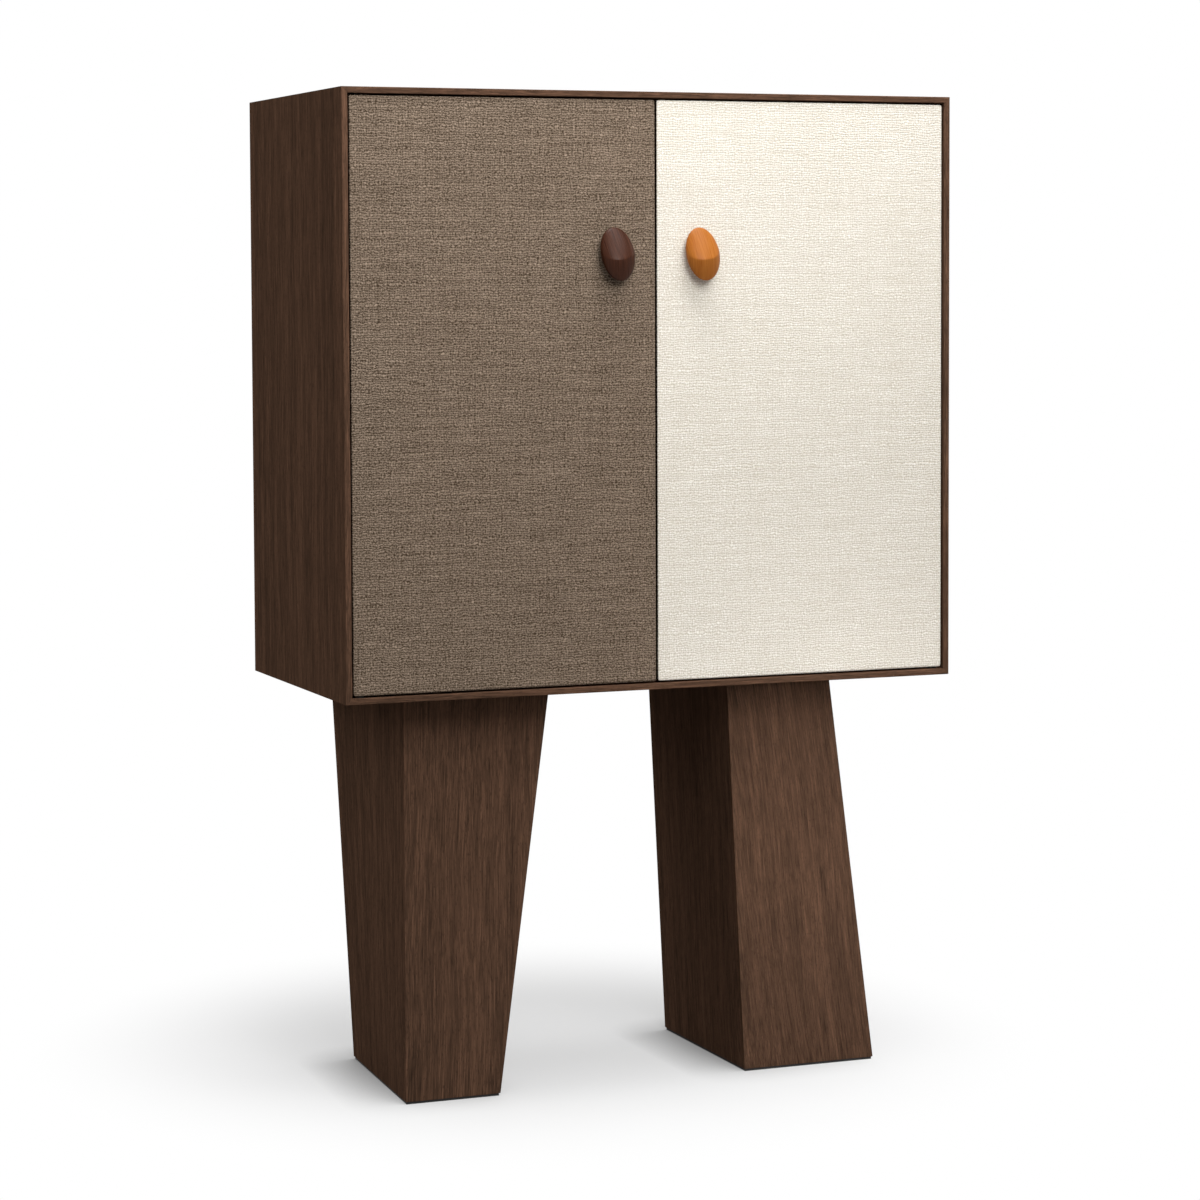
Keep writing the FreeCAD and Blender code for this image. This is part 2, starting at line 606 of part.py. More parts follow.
def door(label, sx, extra_core, extra_backing):
    """One door: board, cloth wrap, backing, knob with its screw, pivot pins and strike plate."""
    x = ordered(sx * door_seam, sx * door_outer)
    z = (door_low, door_high)
    c = s.cloth_thickness
    skin = rounded_board(f"{label}_skin", x, z, door_front, c * 2 + s.core_thickness, s.cloth_edge_radius)
    board = rounded_board(f"{label}_board", (x[0] + c, x[1] - c), (z[0] + c, z[1] - c), door_front + c,
                          s.core_thickness, s.cloth_edge_radius - c)
    core_back = door_front + c + s.core_thickness
    turn = c + s.cloth_turn_in
    window = box(f"{label}_window", (x[0] + turn, x[1] - turn), (core_back, door_back),
                 (z[0] + turn, z[1] - turn))
    place = (sx * pivot_x, pivot_y)
    pin_spans = {"upper": (door_high - s.pivot_in_door, lip_high + s.pivot_in_bush),
                 "lower": (lip_low - s.pivot_in_bush, door_low + s.pivot_in_door)}
    pivots, pin_holes, pin_gaps = [], [], []
    for end, span in pin_spans.items():
        name = f"{label}_{end}_pivot"
        pivots.append(rod(name, "z", place, span, s.pivot_radius))
        pin_holes.append(rod(name + "_hole", "z", place, span, s.pivot_radius + s.running_clearance))
        pin_gaps.append(rod(name + "_gap", "z", place, span, s.washer_radius + s.small_clearance))
    knob_place = (sx * s.knob_offset, under + s.knob_level + s.knob_neck_rise)
    through = (door_front - s.tool_overrun, door_back + s.tool_overrun)
    knob_hole = rod(f"{label}_knob_hole", "y", knob_place, through, s.knob_screw_radius + s.running_clearance)
    keep(f"{label}_door_core", drilled(f"{label}_door_core", board, pin_holes + [knob_hole] + extra_core))
    keep(f"{label}_door_cloth", drilled(f"{label}_door_cloth", skin, [board, window, knob_hole] + pin_gaps))
    inset = s.backing_inset
    backing = box(f"{label}_backing_blank", (x[0] + inset, x[1] - inset), (core_back + c, door_back),
                  (z[0] + inset, z[1] - inset))
    keep(f"{label}_door_backing", drilled(f"{label}_door_backing", backing, [knob_hole] + extra_backing))
    knob = doc.addObject("Part::Feature", f"{label}_knob")
    knob.Shape = knob_shape(sx)
    keep(f"{label}_knob", knob)
    tip = door_front - s.knob_screw_reach + s.small_clearance
    keep(f"{label}_knob_screw", screw(f"{label}_knob_screw", "y", knob_place, door_back, tip,
                                      door_back + s.knob_screw_head_height, s.knob_screw_radius,
                                      s.knob_screw_head))
    keep(f"{label}_door_pivots", compound(f"{label}_door_pivots", pivots))
    middle = sx * (s.catch_offset + s.catch_length / 2)
    strike_z = (ceiling - s.catch_height, ceiling - s.catch_height + s.strike_height)
    ends = (middle - s.strike_length / 2, middle + s.strike_length / 2)
    keep(f"{label}_strike", box(f"{label}_strike", ends, (door_back, strike_face), strike_z))


# Fold-out shelf: interleaved hinge leaves and their pin on the right door
hinge_standoff = s.knuckle_radius + s.small_clearance
axis_y = door_back + hinge_standoff
axis_z = mid_top + s.flap_axis_rise
flap_face = axis_y + hinge_standoff
flap_right = door_outer - s.flap_edge_inset
flap_left = door_seam + s.flap_seam_inset
flap_low = axis_z - hinge_standoff + s.small_clearance
flap_high = flap_low + s.flap_depth
hinge_left = flap_left + s.hinge_end_inset
hinge_length = flap_right - s.hinge_end_inset - hinge_left
knuckle_length = hinge_length / KNUCKLE_COUNT
bore = rod("hinge_bore", "x", (axis_y, axis_z), (hinge_left, hinge_left + hinge_length),
           s.hinge_pin_radius + s.running_clearance)
screw_level = axis_z + s.leaf_screw_level
screw_pitch = hinge_length / LEAF_SCREW_COUNT


def hinge_leaf(label, parity, plate_y, inner_face, way, stagger):
    """One leaf: plate, every other knuckle with its tab, screw holes; returns the screws and their pilots."""
    root = axis_z + s.knuckle_radius + s.small_clearance
    ends = (hinge_left, hinge_left + hinge_length)
    solids = [box(label + "_plate", ends, plate_y, (root, axis_z + s.leaf_width))]
    for i in range(parity, KNUCKLE_COUNT, 2):
        start = hinge_left + knuckle_length * i + s.small_clearance / 2
        end = start + knuckle_length - s.small_clearance
        overlap = root + s.leaf_thickness
        solids.append(box(f"{label}_tab_{i}", (start, end), plate_y, (axis_z, overlap)))
        solids.append(rod(f"{label}_knuckle_{i}", "x", (axis_y, axis_z), (start, end), s.knuckle_radius))
    blank = fused(label + "_blank", solids)
    screws, holes = [], []
    for i in range(LEAF_SCREW_COUNT):
        place = (hinge_left + screw_pitch * (i + stagger), screw_level)
        tip = inner_face + way * s.leaf_screw_length
        cap = inner_face - way * s.leaf_screw_head_height
        screws.append(screw(f"{label}_screw_{i}", "y", place, inner_face, tip, cap, s.leaf_screw_radius,
                            s.leaf_screw_head))
        holes.append(rod(f"{label}_pilot_{i}", "y", place, (inner_face - way * s.tool_overrun, tip),
                         s.leaf_screw_radius + s.running_clearance))
    keep(label, drilled(label, blank, [bore] + holes))
    keep(label + "_screws", compound(label + "_screws", screws))
    return holes


DOOR_LEAF_STAGGER_SHARE = 0.4
FLAP_LEAF_STAGGER_SHARE = 0.6
door_pilots = hinge_leaf("fold_hinge_door_leaf", 0, (door_back, door_back + s.leaf_thickness),
                         door_back + s.leaf_thickness, -1, DOOR_LEAF_STAGGER_SHARE)
flap_pilots = hinge_leaf("fold_hinge_shelf_leaf", 1, (flap_face - s.leaf_thickness, flap_face),
                         flap_face - s.leaf_thickness, 1, FLAP_LEAF_STAGGER_SHARE)
keep("fold_hinge_pin", rod("fold_hinge_pin", "x", (axis_y, axis_z), (hinge_left, hinge_left + hinge_length),
                           s.hinge_pin_radius))
flap_middle = (flap_left + flap_right) / 2
magnet_place = (flap_middle, flap_high - s.flap_magnet_drop)
keep("fold_magnet", rod("fold_magnet", "y", magnet_place, (door_back, flap_face - s.small_clearance),
                        s.flap_magnet_radius))
strike_span = (flap_face, flap_face + s.flap_strike_thickness)
keep("fold_strike", rod("fold_strike", "y", magnet_place, strike_span, s.flap_strike_radius))
seat_radius = s.flap_strike_radius + s.running_clearance
strike_seat = rod("fold_strike_seat", "y", magnet_place, strike_span, seat_radius)
notch = rod("fold_notch", "y", (flap_middle, flap_high), (flap_face - s.tool_overrun,
            flap_face + s.flap_thickness + s.tool_overrun), s.notch_radius)
flap_blank = box("flap_blank", (flap_left, flap_right), (flap_face, flap_face + s.flap_thickness),
                 (flap_low, flap_high))
keep("fold_out_shelf", drilled("fold_out_shelf", flap_blank, [strike_seat, notch] + flap_pilots))
door("left", -1, [], [])
door("right", 1, door_pilots, door_pilots)

# Every piece is checked and then written
doc.recompute()
for thing in doc.Objects:
    if "Invalid" in thing.State or "Error" in thing.State:
        raise RuntimeError(f"{thing.Name} ({thing.Label}) failed: {thing.State}")
os.makedirs("parts", exist_ok=True)
for label, thing in pieces.items():
    if thing.Shape.isNull() or not thing.Shape.isValid() or not thing.Shape.Solids:
        raise RuntimeError(label + " has no valid solid")
    thing.Shape.exportStep(os.path.join("parts", label + ".step"))
    print(f"{label}: {len(thing.Shape.Solids)} solid(s), {thing.Shape.Volume / 1000:.1f} cm3")
print(len(pieces), "pieces; axis points", pivot_x.value, pivot_y.value, axis_y.value, axis_z.value)
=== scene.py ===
# %% [markdown]
# # Dressing a two-tone bar cabinet
# The cabinet is a plain box on two slanted legs, with one taupe and one cream door. Every board, pin and
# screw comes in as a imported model, in metres and in its place, so nothing is moved or measured again here.
# The lesson makes the woven door covers and the knobs as new surfaces, gives every other piece its finish,
# and puts the whole on a small white stage.

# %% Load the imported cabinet
import math

import bmesh
import bpy
import numpy as np
from mathutils import Matrix, Vector


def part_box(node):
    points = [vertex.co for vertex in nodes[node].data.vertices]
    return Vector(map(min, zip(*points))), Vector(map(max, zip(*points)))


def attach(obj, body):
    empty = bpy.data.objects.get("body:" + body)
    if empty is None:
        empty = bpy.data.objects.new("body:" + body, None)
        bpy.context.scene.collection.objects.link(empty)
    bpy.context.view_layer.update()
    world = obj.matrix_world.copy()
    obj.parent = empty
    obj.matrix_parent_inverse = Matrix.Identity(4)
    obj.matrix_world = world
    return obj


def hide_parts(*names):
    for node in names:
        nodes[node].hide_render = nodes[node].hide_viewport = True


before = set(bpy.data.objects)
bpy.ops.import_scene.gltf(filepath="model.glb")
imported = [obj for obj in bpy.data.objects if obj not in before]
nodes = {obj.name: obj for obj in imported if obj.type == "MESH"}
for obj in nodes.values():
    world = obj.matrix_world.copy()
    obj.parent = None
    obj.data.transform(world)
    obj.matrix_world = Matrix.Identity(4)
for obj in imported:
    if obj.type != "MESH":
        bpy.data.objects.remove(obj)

scene = bpy.context.scene
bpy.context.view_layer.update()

# %% [markdown]
# ## The camera
# The picture is taken with a long lens, from the left of the cabinet and a little below its top. The camera
# could simply point at the middle of the cabinet, but then its uprights would lean together. Here it is
# tipped down only slightly and the lens is shifted instead, which is how furniture is usually photographed.

# %% Camera
PICTURE_SIDE = 1200  # pixels
FOCAL_LENGTH = 3375  # pixels
OPTICAL_ROW = 480  # the row of pixels that the lens looks straight at
EYE = Vector((-1.986, -4.9795, 1.257))
YAW, PITCH, ROLL = (math.radians(angle) for angle in (-21.706, 3.413, -0.224))


def camera_turn(yaw, pitch, roll):
    """Turns a camera about the upright, tips it down from the level and rolls it about its line of sight."""
    level = Matrix.Rotation(yaw, 4, "Z") @ Matrix.Rotation(math.pi / 2 - pitch, 4, "X")
    return level @ Matrix.Rotation(roll, 4, "Z")


camera = bpy.data.objects.new("camera", bpy.data.cameras.new("camera"))
scene.collection.objects.link(camera)
camera.matrix_world = Matrix.Translation(EYE) @ camera_turn(YAW, PITCH, ROLL)
camera.data.sensor_width = 36
camera.data.lens = FOCAL_LENGTH * camera.data.sensor_width / PICTURE_SIDE
camera.data.shift_y = (OPTICAL_ROW - PICTURE_SIDE / 2) / PICTURE_SIDE
scene.camera = camera
scene.view_settings.view_transform = "Standard"
print("lens", camera.data.lens, "mm, shift", camera.data.shift_y)

# %% [markdown]
# ## Shader sums as Python sums
# A finish is a graph of nodes. Adding each node and link by hand takes many lines, so one small class wraps
# an output socket: sums and products of such signals add Math nodes, and the method `node` adds any other
# node from its type, its settings and the values or links of its sockets.


# %% A signal in a shader graph
class Signal:
    """An output socket of a node tree, which can be used in Python sums."""

    def __init__(self, tree, socket=None):
        self.tree = tree
        self.socket = socket

    def node(self, kind, settings=(), inputs=(), output=0):
        """Adds a node: first its settings, where stops fill a colour ramp, then its sockets."""
        made = self.tree.nodes.new("ShaderNode" + kind)
        for name, value in dict(settings).items():
            if name == "stops":
                ramp = made.color_ramp
                while len(ramp.elements) < len(value):
                    ramp.elements.new(1.0)
                for element, (place, colour) in zip(ramp.elements, value):
                    element.position = place
                    element.color = colour
            else:
                setattr(made, name, value)
        for name, value in dict(inputs).items():
            if isinstance(value, Signal):
                self.tree.links.new(value.socket, made.inputs[name])
            else:
                made.inputs[name].default_value = value
        return Signal(self.tree, made.outputs[output] if made.outputs else None)

    def math(self, operation, *others):
        """A Math node on this signal and further numbers or signals."""
        return self.node("Math", {"operation": operation}, enumerate((self, *others)))

    def __add__(self, other):
        return self.math("ADD", other)

    def __sub__(self, other):
        return self.math("SUBTRACT", other)

    def __rsub__(self, other):
        return self.node("Math", {"operation": "SUBTRACT"}, {0: other, 1: self})

    def __mul__(self, other):
        return self.math("MULTIPLY", other)

    __radd__ = __add__
    __rmul__ = __mul__

    def clear(self, low, high, course="LINEAR"):
        """The share of the way from low to high, held between 0 and 1."""
        limits = {"Value": self, "From Min": low, "From Max": high}
        return self.node("MapRange", {"clamp": True, "interpolation_type": course}, limits)

    def mix(self, first, second):
        """Two colours mixed by this signal; a Mix node has its colours in sockets 6 and 7."""
        return self.node("Mix", {"data_type": "RGBA"}, {0: self, 6: first, 7: second}, 2)


def paint(red, green, blue):
    """A screen colour in steps of 0 to 255, as the linear colour that shaders use."""
    share = np.array((red, green, blue)) / 255
    linear = np.where(share <= 0.04045, share / 12.92, ((share + 0.055) / 1.055) ** 2.4)
    return (*linear.tolist(), 1.0)


print("mid grey is", round(paint(128, 128, 128)[0], 3), "in linear light")

# %% [markdown]
# ## The world
# The cabinet stands in a white studio. A wide white wall behind it would do, but a white world is simpler.
# The camera, and anything glossy, sees that world at a strength of 1, while as light it is a weak, even
# fill.

# %% World
WORLD_FILL = 0.36  # strength of the world as light
WHITE = (1, 1, 1, 1)
SEEN_RAYS = ("Camera", "Glossy", "Transmission")


def seen_directly(graph):
    """1 for rays from the camera and for rays that a glossy or clear surface sends on."""
    camera, glossy, clear = (graph.node("LightPath", output=f"Is {kind} Ray") for kind in SEEN_RAYS)
    return (camera + glossy + clear).math("MINIMUM", 1.0)


world = bpy.data.worlds.new("studio")
world.use_nodes = True
world.node_tree.nodes.clear()
sky = Signal(world.node_tree)
brightness = seen_directly(sky) * (1 - WORLD_FILL) + WORLD_FILL
glow = sky.node("Background", {}, {"Color": WHITE, "Strength": brightness})
sky.node("OutputWorld", {}, {"Surface": glow})
scene.world = world
print("world fill", WORLD_FILL)

# %% [markdown]
# ## The floor
# The floor is white in the picture, apart from the shadow of the cabinet. It could be a white board under
# more light, but the cabinet would then be too bright. So it is a plain grey that the camera sees lifted to
# white. A lift has no shadow of its own, so close to the left of each foot, where the picture is darkest,
# ambient occlusion weakens it into a painted contact shadow. Far from the cabinet, where the lamps don't
# reach, the floor is simply white, so no horizon shows.

# %% Floor
FLOOR_HALF = 40.0
FLOOR_BOUNCE = 0.25  # the floor's grey for light that it sends back
FLOOR_PALE = 0.34  # the floor's grey for rays that see it directly, which is then lifted
FLOOR_LIFT = 0.45
CONTACT_REACH = 0.095  # metres from a foot within which the lift is weaker
CONTACT_SIDE = (0.7, -0.2, 0.55)  # the side that the lift seems to come from
FLOOR_MIDDLE = (-0.05, 0.2, 0.0)
FLOOR_FADE = (0.28, 0.85)  # metres from that middle


def mesh_piece(name, points, faces):
    """A new object from whole arrays: points of three numbers, faces of three or four point numbers."""
    mesh = bpy.data.meshes.new(name)
    mesh.from_pydata(points.tolist(), [], faces.tolist())
    mesh.update()
    piece = bpy.data.objects.new(name, mesh)
    scene.collection.objects.link(piece)
    return piece


def new_graph(name):
    """A material with an empty graph."""
    material = bpy.data.materials.new(name)
    material.use_nodes = True
    material.node_tree.nodes.clear()
    return material, Signal(material.node_tree)


def grey(level):
    """A neutral linear colour."""
    return (level, level, level, 1.0)


floor_finish, graph = new_graph("studio_floor")
seen = seen_directly(graph)
matt = graph.node("BsdfDiffuse", {}, {"Color": seen.mix(grey(FLOOR_BOUNCE), grey(FLOOR_PALE))})
tilt = graph.node("CombineXYZ", {}, enumerate(Vector(CONTACT_SIDE).normalized()))
nearby = {"Distance": CONTACT_REACH, "Normal": tilt}
# painted contact shadow: ambient occlusion, leaning to the given side, dims the lift near the feet
painted_contact_shadow = graph.node("AmbientOcclusion", {"samples": 16}, nearby, "Color")
lift = graph.node("Emission", {}, {"Color": painted_contact_shadow, "Strength": seen * FLOOR_LIFT})
near = graph.node("AddShader", {}, {0: matt, 1: lift})
far = graph.node("Emission", {}, {"Color": WHITE, "Strength": 1.0})
spot = graph.node("TexCoord", output="Object")
distance = graph.node("VectorMath", {"operation": "DISTANCE"}, {0: spot, 1: FLOOR_MIDDLE}, "Value")
away = distance.clear(*FLOOR_FADE, "SMOOTHSTEP") * seen
graph.node("OutputMaterial", {}, {"Surface": graph.node("MixShader", {}, {0: away, 1: near, 2: far})})
corners = np.array([(-1, -1, 0), (1, -1, 0), (1, 1, 0), (-1, 1, 0)]) * FLOOR_HALF
floor = mesh_piece("floor", corners, np.array([(0, 1, 2, 3)]))
floor.data.materials.append(floor_finish)
print("floor", 2 * FLOOR_HALF, "m wide")

# %% [markdown]
# ## The lamps
# The knobs are bright above their ridge and their shadows are short, and the shade of the box on the legs
# is short too. So the main light comes from in front, about 27 degrees up, and a second one from straight
# above brightens what faces up. One lamp between the two would make longer shadows, so the one there is
# weak and only gives the knobs their sheen. A small lamp with a grid, which keeps its beam narrow, lights
# only the legs; weak ones light the sides and the back. The camera doesn't see the lamps themselves.

# %% Soft boxes
LAMPS = {  # place, target, side, watts, spread in degrees
    "front_soft_box": ((-0.2, -2.35, 2.25), (0.0, -0.2, 1.15), 1.2, 37, 180),
    "top_soft_box": ((-0.2, -0.5, 3.4), (0.0, -0.2, 1.2), 1.2, 54, 180),
    "sheen_soft_box": ((0.5, -1.4, 3.2), (0.0, -0.2, 1.2), 1.0, 22, 180),
    "leg_grid_box": ((0.6, -2.2, 0.9), (0.28, -0.15, 0.34), 0.5, 0.46, 24),
    "left_rear_soft_box": ((-3.0, 1.0, 2.5), (0.0, 0.0, 1.0), 2.0, 23, 180),
    "rear_soft_box": ((0.3, 3.0, 3.5), (0.0, 0.0, 0.8), 2.0, 40, 180),
    "right_soft_box": ((3.4, 0.6, 2.4), (0.0, 0.0, 1.0), 2.0, 30, 180),
}
for name, (place, target, side, watts, spread) in LAMPS.items():
    lamp = bpy.data.lights.new(name, "AREA")
    lamp.size = side
    lamp.energy = watts
    lamp.spread = math.radians(spread)
    holder = bpy.data.objects.new(name, lamp)
    scene.collection.objects.link(holder)
    holder.location = place
    holder.rotation_euler = (Vector(target) - Vector(place)).to_track_quat("-Z", "Y").to_euler()
    holder.visible_camera = False
    print(name, watts, "W")

# %% [markdown]
# ## Timber
# The case and the legs are veneered in dark brown timber with fine, straight grain. A picture of wood could
# be wrapped round them, but the grain has to run along each board and through its edges. So it is a solid
# pattern: noise that is stretched along the board, in broad bands, narrow growth lines, fine fibres and
# short pores, all bent by the same slow drift.

# %% Timber finish
AXES = {"x": 0, "y": 1, "z": 2}
DRIFT_SCALE, DRIFT = 3.5, 0.02  # waves to a metre, and metres of sideways drift
BAND, LINE, FIBRE = (0.02, 0.5, 2.0), (0.0022, 0.10, 1.5), (0.0011, 0.035, 1.0)
PORE = (0.0012, 0.007, 0.0)  # like the rest, metres across and along the grain, and the noise's detail
PORE_LIMITS = (0.12, 0.24)  # noise above which a pore begins and is full
BAND_SHARE, LINE_SHARE, FIBRE_SHARE = 0.5, 0.7, 0.75  # of the tone
TONE_STOPS = (0.15, 0.5, 0.9)
FIBRE_HEIGHT, LINE_HEIGHT, TIMBER_RELIEF = 0.6, 0.4, 0.0006
LINE_ROUGHNESS, PORE_ROUGHNESS = 0.2, 0.1


def timber(name, along, shades, roughness=0.6, shine=0.0, grain=1.0, turn=0.0, pores=0.45):
    """Straight-grained timber. Its tone is a sum of three stretched noises around one half, its colour a
    ramp of three shades on that tone, darkened in the pores. The grain is stretched along one or more axes,
    turned about the y axis, and made finer or coarser by the factor called grain."""
    material, graph = new_graph(name)
    place = graph.node("TexCoord", output="Object")
    place = graph.node("Mapping", {}, {"Vector": place, "Rotation": (0, turn, 0)})
    drift = graph.node("TexNoise", {}, {"Vector": place, "Scale": DRIFT_SCALE, "Detail": 1.0}, 1)
    bent = graph.node("VectorMath", {"operation": "MULTIPLY_ADD"}, {0: drift, 1: (DRIFT,) * 3, 2: place})

    def strips(across, length, detail):
        """Noise of so many metres across and along the grain, around zero."""
        scale = [1 / (across * grain)] * 3
        for axis in along:
            scale[AXES[axis]] = 1 / (length * grain)
        stretched = graph.node("Mapping", {}, {"Vector": bent, "Scale": scale})
        fine = {"Vector": stretched, "Scale": 1.0, "Detail": detail, "Roughness": 0.6}
        return graph.node("TexNoise", {}, fine) - 0.5

    band, line, fibre = strips(*BAND), strips(*LINE), strips(*FIBRE)
    pore = strips(*PORE).clear(*PORE_LIMITS)
    tone = band * BAND_SHARE + line * LINE_SHARE + fibre * FIBRE_SHARE + 0.5
    base = graph.node("ValToRGB", {"stops": list(zip(TONE_STOPS, shades))}, {"Fac": tone})
    colour = (pore * pores).mix(base, shades[0])
    height = fibre * FIBRE_HEIGHT + line * LINE_HEIGHT - pore * pores
    relief = graph.node("Bump", {}, {"Height": height, "Strength": 0.25, "Distance": TIMBER_RELIEF})
    rough = line * LINE_ROUGHNESS + pore * PORE_ROUGHNESS + roughness
    coat = {"Base Color": colour, "Roughness": rough, "Normal": relief, "Specular IOR Level": shine}
    graph.node("OutputMaterial", {}, {"Surface": graph.node("BsdfPrincipled", {}, coat)})
    return material


CASE_SHADES = (paint(50, 38, 30), paint(88, 65, 51), paint(122, 90, 71))
INNER_SHADES = (paint(72, 48, 34), paint(112, 80, 58), paint(142, 108, 82))
RAW_SHADES = (paint(160, 128, 92), paint(190, 158, 118), paint(208, 180, 142))
case_timber = {axis: timber(f"case_timber_{axis}", axis, CASE_SHADES) for axis in "xz"}
inner_timber = {axis: timber(f"inner_timber_{axis}", axis, INNER_SHADES) for axis in "xz"}
raw_timber = timber("raw_timber", "z", RAW_SHADES, 0.7)
print("timbers:", *(m.name for m in bpy.data.materials if "timber" in m.name))

# %% [markdown]
# ## Small fittings
# The fold-out shelf's hinge and the pins are brass, screws and plates are steel, the catches are moulded
# plastic and the feet stand on rubber. The door pivots and their washers are a dull black, so that they
# don't show in the gaps. Each could be a plain colour, but real fittings are handled and brushed. So one
# function makes all of them: a base colour with a faint cloudiness, and a roughness that wanders with it.

# %% Plain finishes
HANDLING = 0.3  # spread of the roughness
FITTING_RELIEF = 0.0003


def plain_finish(name, colour, metallic, roughness, mottle, cell, shine=0.5):
    """One colour, cloudy by the mottle share at the cell size, with a roughness that wanders with it."""
    material, graph = new_graph(name)
    place = graph.node("TexCoord", output="Object")
    cloud = graph.node("TexNoise", {}, {"Vector": place, "Scale": 1 / cell, "Detail": 3.0})
    shade = tuple(c * (1 - mottle) for c in colour[:3]) + (1.0,)
    relief = graph.node("Bump", {}, {"Height": cloud, "Strength": 0.08, "Distance": FITTING_RELIEF})
    coat = {"Base Color": cloud.mix(shade, colour), "Metallic": metallic, "Normal": relief,
            "Roughness": (cloud - 0.5) * HANDLING + roughness, "Specular IOR Level": shine}
    graph.node("OutputMaterial", {}, {"Surface": graph.node("BsdfPrincipled", {}, coat)})
    return material


brass = plain_finish("satin_brass", (0.72, 0.5, 0.2, 1), 1.0, 0.32, 0.25, 0.004)
steel = plain_finish("bright_steel", (0.55, 0.55, 0.55, 1), 1.0, 0.35, 0.2, 0.003)
blacked = plain_finish("blacked_pivots", (0.02, 0.018, 0.016, 1), 0.0, 0.8, 0.3, 0.002, 0.0)
rubber = plain_finish("foot_rubber", (0.02, 0.018, 0.016, 1), 0.0, 0.8, 0.4, 0.002)
plastic = plain_finish("catch_plastic", (0.08, 0.06, 0.05, 1), 0.0, 0.5, 0.3, 0.002)
print("fittings:", *(finish.name for finish in (brass, steel, blacked, rubber, plastic)))

# %% [markdown]
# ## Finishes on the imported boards
# A board cut in a workshop has slightly eased edges, and these catch the light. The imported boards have
# knife edges made of loose triangles, so a Weld joins the triangles first, and a narrow Bevel eases every
# sharp edge. Each board then takes the timber whose grain runs along it.

# %% Boards and fittings
BOARD_EASE = 0.0006
JOIN_DISTANCE = 0.00001
SHARP_ANGLE = math.radians(40)
SIDES = ("left", "right")
FINISHES = {
    case_timber["x"]: ["case_top", "case_bottom"],
    case_timber["z"]: ["case_left_side", "case_right_side"]
    + [f"{side}_leg_{face}" for side in SIDES for face in ("outer", "rear", "inner", "front")],
    inner_timber["x"]: ["mid_shelf", "fold_out_shelf", "stemware_rails"]
    + [f"{side}_loose_shelf" for side in SIDES],
    inner_timber["z"]: ["back_panel", "upper_divider", "lower_divider"]
    + [f"{side}_door_backing" for side in SIDES],
    raw_timber: ["mid_shelf_dowels", "left_door_core", "right_door_core"]
    + [f"{side}_{block}_block" for side in SIDES for block in ("leg", "foot")],
    brass: ["leg_inserts", "pivot_bushes", "shelf_pins", "fold_hinge_pin"]
    + [f"fold_hinge_{leaf}_leaf{end}" for leaf in ("door", "shelf") for end in ("", "_screws")],
    steel: ["back_screws", "leg_bolts", "fold_magnet", "fold_strike"]
    + [f"{side}_{name}" for side in SIDES for name in ("knob_screw", "strike")],
    blacked: ["left_door_pivots", "right_door_pivots", "thrust_washers"],
    rubber: ["door_bumpers", "left_foot_pad", "right_foot_pad"],
    plastic: ["magnet_catches"],
}


def ease_edges(board):
    """Joins the loose triangles of a packed board and rounds its sharp edges a little."""
    board.modifiers.new("join", "WELD").merge_threshold = JOIN_DISTANCE
    ease = board.modifiers.new("ease", "BEVEL")
    ease.width = BOARD_EASE
    ease.segments = 2
    ease.limit_method = "ANGLE"
    ease.angle_limit = SHARP_ANGLE
    board.modifiers.new("even", "WEIGHTED_NORMAL").keep_sharp = True


for material, names in FINISHES.items():
    for name in names:
        nodes[name].material_slots[0].material = material
        if "timber" in material.name:
            ease_edges(nodes[name])
print(sum(len(names) for names in FINISHES.values()), "packed pieces have their finish")

# %% [markdown]
# ## Leaning grain
# On the legs the grain leans with the panel. Upright grain would be simpler, but on a sloping face it is
# cut short. The right leg's veneer is also a little finer.

# %% Leg grain
LEG_LEANS = {  # degrees from the upright; plus where the foot stands further right than the top
    "left": {-7.6: ["inner"], -1.4: ["front", "rear"], 1.5: ["outer"]},
    "right": {2.7: ["inner"], 7.2: ["front", "rear", "outer"]},
}
LEG_GRAIN = {"left": 1.0, "right": 0.75}  # width of the grain, against the case
for side, leans in LEG_LEANS.items():
    for lean, faces in leans.items():
        turn = math.radians(lean)
        leaning = timber(f"leg_timber_{lean}", "z", CASE_SHADES, grain=LEG_GRAIN[side], turn=turn)
        for face in faces:
            nodes[f"{side}_leg_{face}"].material_slots[0].material = leaning
        print(leaning.name, "on the", side, "leg:", *faces)

# %% [markdown]
# ## The woven door covers
# Each door is a board wrapped in coarse linen: stretched over the front, round the softened edges, down the
# sides and turned in behind. A flat colour with a bump would look like painted card, so the cover is a real
# sheet with one point for every crossing of two yarns, raised where the level yarn lies on top and lowered
# where it dives. The front is a grid; the edge is a profile carried round the door's outline, and this
# profile comes first.

# %% Wrap of a door cover
FRONT_RADIUS = 0.002
BACK_RADIUS = 0.001
TURN_IN = 0.024  # width of the cloth behind the door


def quarter_round(radius, steps):
    """Steps of a quarter circle past its start: the length r a, and the offsets r (1 - sin a) and
    r (1 - cos a)."""
    angle = np.linspace(0, math.pi / 2, steps + 1)[1:]
    return radius * angle, radius * (1 - np.sin(angle)), radius * (1 - np.cos(angle))


def edge_profile(depth):
    """Steps along the wrap from the flat front: distance along the cloth, inset from the door's edge and
    depth behind its face. A quarter round, a straight side, a tight quarter round and the part turned in."""
    front = np.stack(quarter_round(FRONT_RADIUS, 4), 1)
    down = np.linspace(FRONT_RADIUS, depth - BACK_RADIUS, 5)[1:]
    side = np.stack([front[-1, 0] + down - FRONT_RADIUS, down * 0, down], 1)
    length, before, after = quarter_round(BACK_RADIUS, 2)
    back = np.stack([side[-1, 0] + length, after, depth - before], 1)
    run = np.linspace(BACK_RADIUS, TURN_IN, 4)[1:]
    under = np.stack([back[-1, 0] + run - BACK_RADIUS, run, run * 0 + depth], 1)
    return np.concatenate([front, side, back, under])


